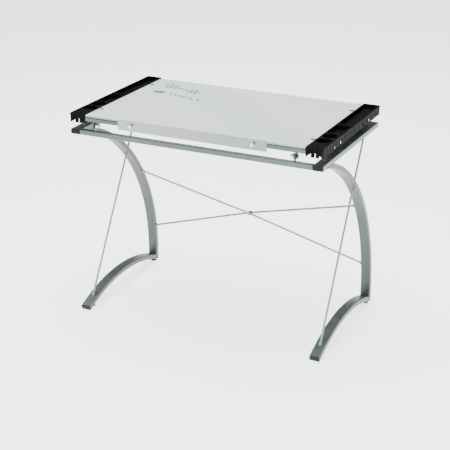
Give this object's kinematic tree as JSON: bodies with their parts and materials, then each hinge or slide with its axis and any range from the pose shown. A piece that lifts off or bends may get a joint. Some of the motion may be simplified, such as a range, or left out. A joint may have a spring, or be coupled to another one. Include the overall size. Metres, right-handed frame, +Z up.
{
  "type": "drafting table",
  "caption": "Tilting glass-top drafting table on curved tube legs, with black side trays, a sliding pencil ledge and rod braces.",
  "frame": {"origin": "centre of the table's footprint, on the floor", "axes": "+Z up, +X to the drafter's right along the table's width, -Y towards the drafter"},
  "size_m": [1.036, 0.6148, 0.8416],
  "materials": {
    "leg_paint": "satin silver-green powder coat",
    "frame_paint": "satin silver powder coat",
    "black_cap": "moulded black",
    "tray_plastic": "satin moulded black",
    "zinc": "zinc plated",
    "dark_steel": "blackened",
    "rod_steel": "drawn, satin",
    "glass": "frosted tempered, pale green edge",
    "rubber": "matt black",
    "ledge_metal": "brushed silver"
  },
  "bodies": {
    "base": {"leg_upper_arc_right": "leg_paint", "leg_upper_arc_left": "leg_paint", "leg_lower_arc_right": "leg_paint", "leg_lower_arc_left": "leg_paint", "front_foot_cap_right": "black_cap", "front_foot_cap_left": "black_cap", "rear_foot_cap_right": "black_cap", "rear_foot_cap_left": "black_cap", "glide_nuts": "zinc", "leg_bolts": "zinc", "side_rail_right": "frame_paint", "side_rail_left": "frame_paint", "side_rail_end_caps": "black_cap", "lower_front_rail": "frame_paint", "lower_rear_rail": "frame_paint", "side_tension_rod_right": "rod_steel", "side_tension_rod_left": "rod_steel", "side_rod_ferrules": "rod_steel", "cross_brace_rod_front": "rod_steel", "cross_brace_rod_rear": "rod_steel", "cross_brace_clip": "rod_steel", "cross_brace_collars": "rod_steel", "hinge_post_right": "frame_paint", "hinge_post_left": "frame_paint", "hinge_bolts": "dark_steel", "hinge_washers": "black_cap", "hinge_cone_nuts": "zinc", "prop_rack_right": "frame_paint", "prop_rack_left": "frame_paint", "rack_screws": "zinc", "rest_posts": "frame_paint", "rest_bumpers": "rubber"},
    "tabletop": {"glass_top": "glass", "glass_screws": "black_cap", "glass_pads": "rubber", "top_front_rail": "frame_paint", "top_rear_rail": "frame_paint", "top_side_rail_right": "frame_paint", "top_side_rail_left": "frame_paint", "top_cross_rail": "frame_paint", "front_tray_right": "tray_plastic", "front_tray_left": "tray_plastic", "rear_tray_right": "tray_plastic", "rear_tray_left": "tray_plastic", "tray_screws": "zinc", "hinge_lugs": "dark_steel", "prop_brackets": "frame_paint", "prop_pins": "zinc"},
    "prop": {"prop_arm_right": "frame_paint", "prop_arm_left": "frame_paint", "prop_crossbar": "zinc"},
    "ledge": {"pencil_ledge": "ledge_metal"},
    "ledge_screw_right": {"ledge_screw_right": "zinc"},
    "front_glide_right": {"front_glide_right": "rubber"},
    "rear_glide_right": {"rear_glide_right": "rubber"},
    "ledge_screw_left": {"ledge_screw_left": "zinc"},
    "front_glide_left": {"front_glide_left": "rubber"},
    "rear_glide_left": {"rear_glide_left": "rubber"}
  },
  "joints": [
    {"name": "top_tilt", "type": "hinge", "parent": "base", "child": "tabletop", "pos_m": [0, -0.2856, 0.796], "axis": [1, 0, 0], "range_deg": [0, 35]},
    {"name": "prop_swing", "type": "hinge", "parent": "tabletop", "child": "prop", "pos_m": [0, -0.01369, 0.803], "axis": [1, 0, 0], "range_deg": [-71, 0]},
    {"name": "ledge_slide", "type": "slide", "parent": "tabletop", "child": "ledge", "axis": [-0.6157, 0, -0.788], "range_m": [-0.0055, 0.0115]},
    {"name": "ledge_screw_right_turn", "type": "hinge", "parent": "tabletop", "child": "ledge_screw_right", "pos_m": [0.25, -0.2956, 0.8195], "axis": [0, -1, 0], "continuous": true},
    {"name": "ledge_screw_left_turn", "type": "hinge", "parent": "tabletop", "child": "ledge_screw_left", "pos_m": [-0.25, -0.2956, 0.8195], "axis": [0, -1, 0], "continuous": true},
    {"name": "front_glide_right_turn", "type": "hinge", "parent": "base", "child": "front_glide_right", "pos_m": [0.498, -0.2306, 0.002], "axis": [0, 0, 1], "continuous": true},
    {"name": "rear_glide_right_turn", "type": "hinge", "parent": "base", "child": "rear_glide_right", "pos_m": [0.498, 0.28729, 0.002], "axis": [0, 0, 1], "continuous": true},
    {"name": "front_glide_left_turn", "type": "hinge", "parent": "base", "child": "front_glide_left", "pos_m": [-0.498, -0.2306, 0.002], "axis": [0, 0, 1], "continuous": true},
    {"name": "rear_glide_left_turn", "type": "hinge", "parent": "base", "child": "rear_glide_left", "pos_m": [-0.498, 0.28729, 0.002], "axis": [0, 0, 1], "continuous": true}
  ],
  "couplings": [
    {"joint": "prop_swing", "follows": "top_tilt", "ratio": -2}
  ]
}
